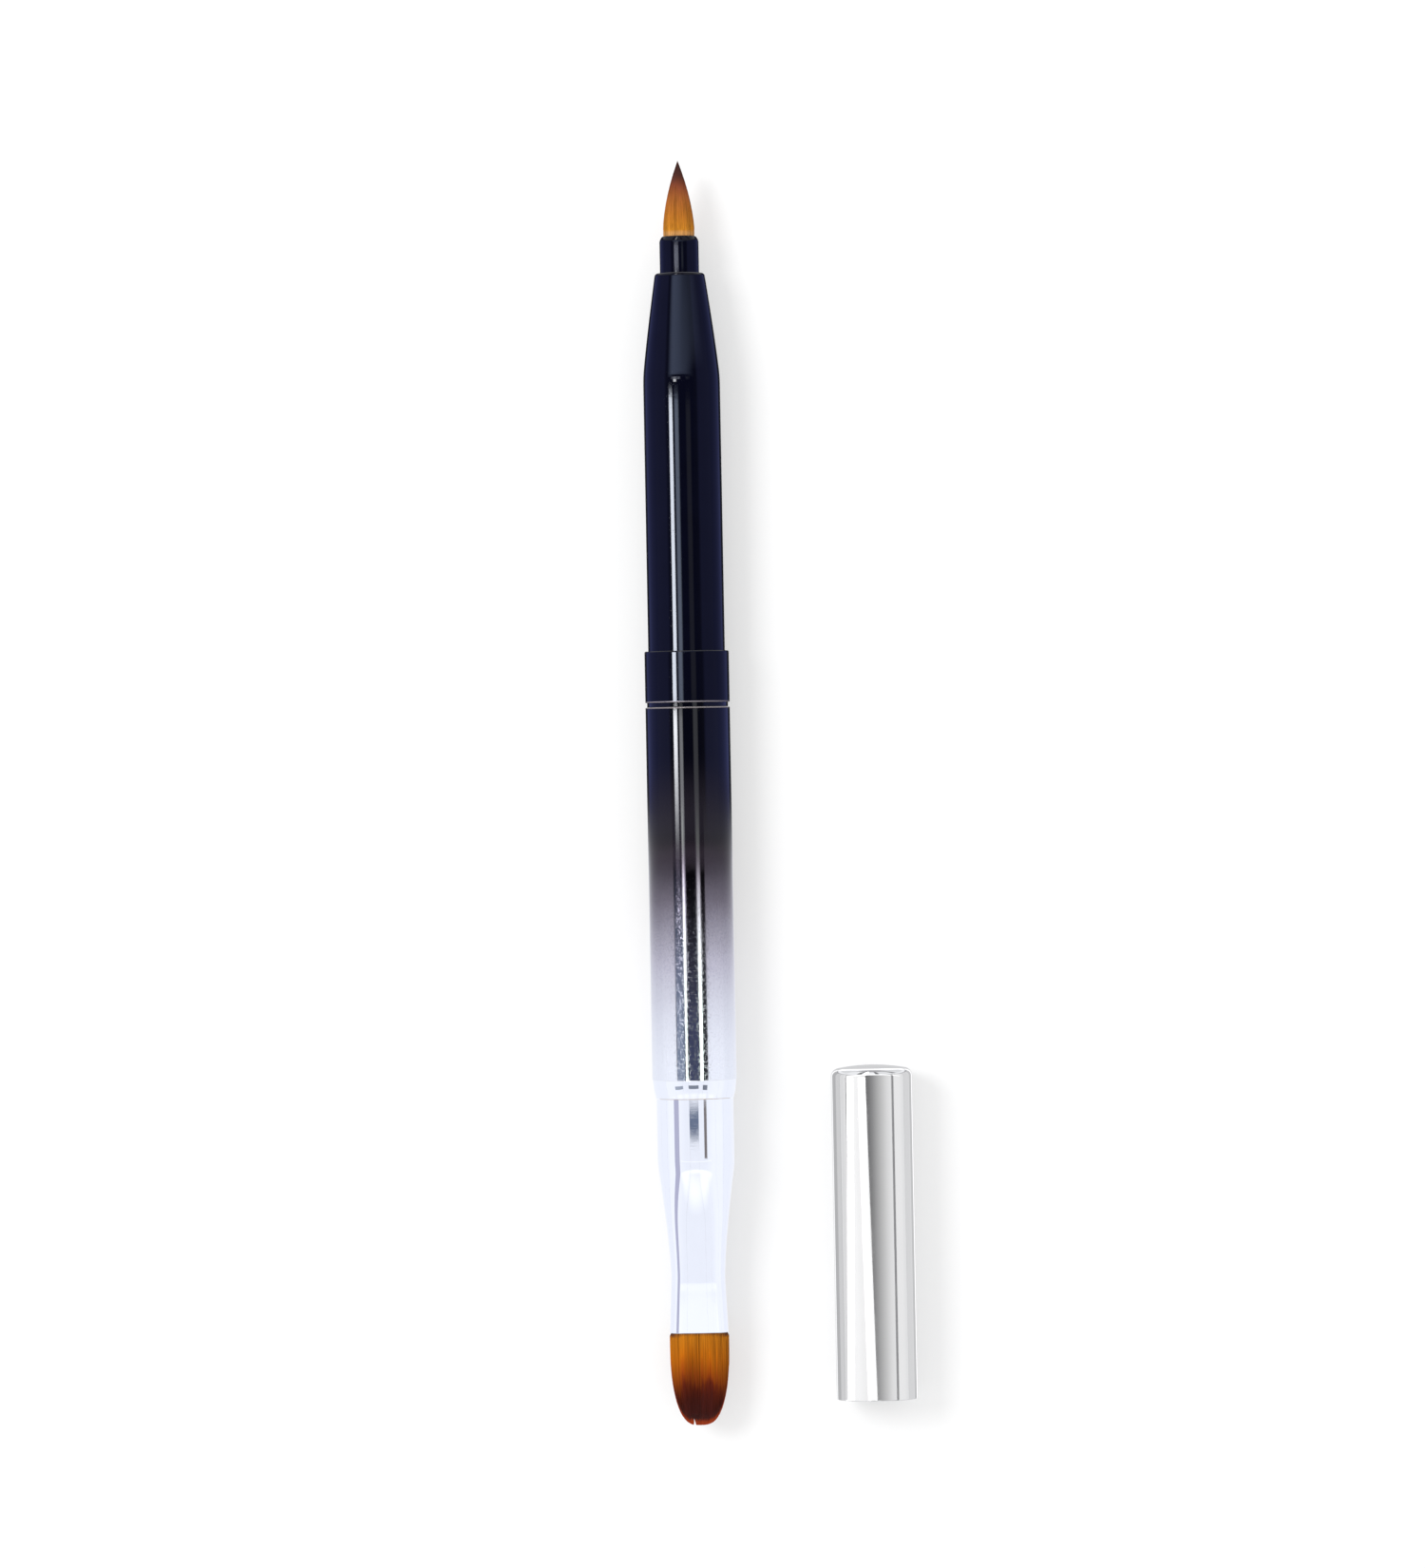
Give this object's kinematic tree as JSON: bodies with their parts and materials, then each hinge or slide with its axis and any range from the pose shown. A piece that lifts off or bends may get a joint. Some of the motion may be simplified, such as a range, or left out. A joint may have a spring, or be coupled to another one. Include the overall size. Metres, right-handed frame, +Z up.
{
  "type": "acrylic nail brush",
  "caption": "Double-ended nail brush: a pointed tuft inside a sliding sleeve, an oval tuft on a pressed ferrule, and a loose bright cap for the oval end.",
  "frame": {"origin": "on the brush's axis, in the middle of the groove between the collar and the handle tube", "axes": "+Y along the brush towards the pointed tuft, +Z up from the surface that the brush lies on, +X towards the cap"},
  "size_m": [0.0339, 0.165, 0.011],
  "materials": {
    "fading_lacquer": "gloss lacquer fading from black at the collar to silver at the tail",
    "black_lacquer": "gloss blue-black lacquer",
    "bare_aluminium": "turned",
    "bright_plate": "bright nickel-chrome plate",
    "cap_plate": "mirror-bright plate",
    "white_plastic": "moulded acetal",
    "dark_plastic": "moulded acetal",
    "rubber": "smooth",
    "resin": "set adhesive",
    "thread": "waxed thread",
    "dowel_wood": "plain turned birch",
    "point_hair": "fine hair, golden at the base and dark brown at the tip",
    "oval_hair": "fine hair, golden at the base and dark red-brown at the tip"
  },
  "bodies": {
    "handle": {"body_tube": "fading_lacquer", "collar": "black_lacquer", "centre_plug": "white_plastic", "rod": "bare_aluminium", "guide_bush": "white_plastic", "friction_ring": "rubber", "point_ferrule": "black_lacquer", "point_tie": "thread", "point_resin": "resin", "point_hair": "point_hair", "tail_ring": "bright_plate", "tail_dowel": "dowel_wood", "oval_ferrule": "bright_plate", "oval_tie": "thread", "oval_resin": "resin", "oval_hair": "oval_hair"},
    "sleeve": {"sleeve_tube": "black_lacquer", "nose_bush": "dark_plastic", "stop_ring": "white_plastic"},
    "cap": {"cap_shell": "cap_plate"}
  },
  "joints": [
    {"name": "sleeve_slide", "type": "slide", "parent": "handle", "child": "sleeve", "axis": [0, 1, 0], "range_m": [0, 0.016]},
    {"name": "cap_turn", "type": "hinge", "parent": "handle", "child": "cap", "pos_m": [0.01155, -0.094, -0.0002], "axis": [0, 0, -1], "range_deg": [0, 180]}
  ]
}
